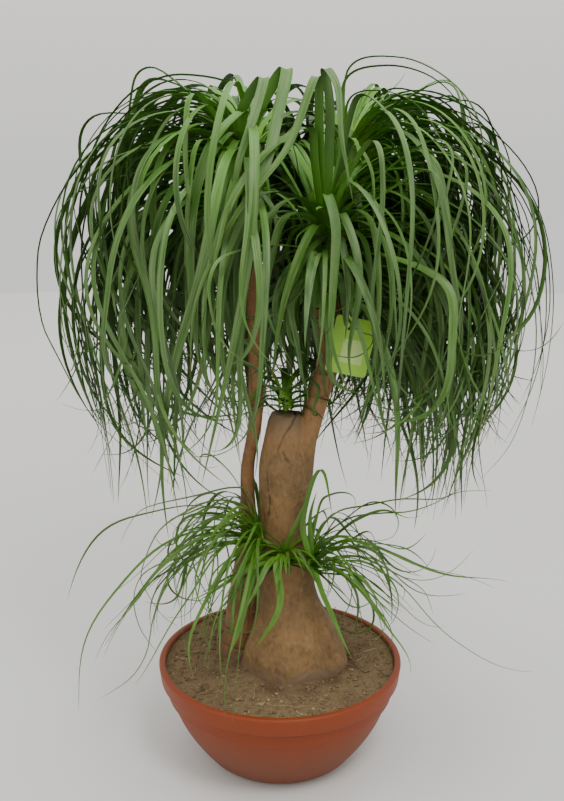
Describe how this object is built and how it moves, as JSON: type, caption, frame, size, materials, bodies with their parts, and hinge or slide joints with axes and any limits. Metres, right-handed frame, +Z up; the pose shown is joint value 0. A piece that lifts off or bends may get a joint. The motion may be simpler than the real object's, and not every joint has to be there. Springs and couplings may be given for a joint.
{
  "type": "potted ponytail palm",
  "caption": "Branched ponytail palm with a swollen foot, thick corky stems, mop heads of long arching strap leaves and low leafy shoots, in a shallow terracotta-coloured bowl pot.",
  "frame": {"origin": "centre of the pot's flat foot, on the surface that the pot stands on", "axes": "+Z up along the plant, -Y towards the viewer of the picture, +X to that viewer's right"},
  "size_m": [0.7227, 0.5803, 1.0018],
  "materials": {
    "terracotta": "satin terracotta-coloured moulded plastic",
    "soil": "dry grey-brown potting soil with chips and rootlets",
    "bark": "matt corky tan bark, wrinkled at the foot",
    "reddish_bark": "matt reddish-brown bark with scar rings",
    "leaf": "satin grey-green strap leaves, darker underneath",
    "young_leaf": "satin bright green young leaves",
    "tag_plastic": "smooth lime-green plastic"
  },
  "bodies": {
    "root": {"pot": "terracotta", "soil": "soil", "trunk_main": "bark", "trunk_side": "reddish_bark", "head_left": "leaf", "head_right": "leaf", "head_back": "leaf", "head_middle": "young_leaf", "shoot_left": "young_leaf", "shoot_centre": "young_leaf", "shoot_right": "young_leaf", "label": "tag_plastic"}
  },
  "joints": []
}
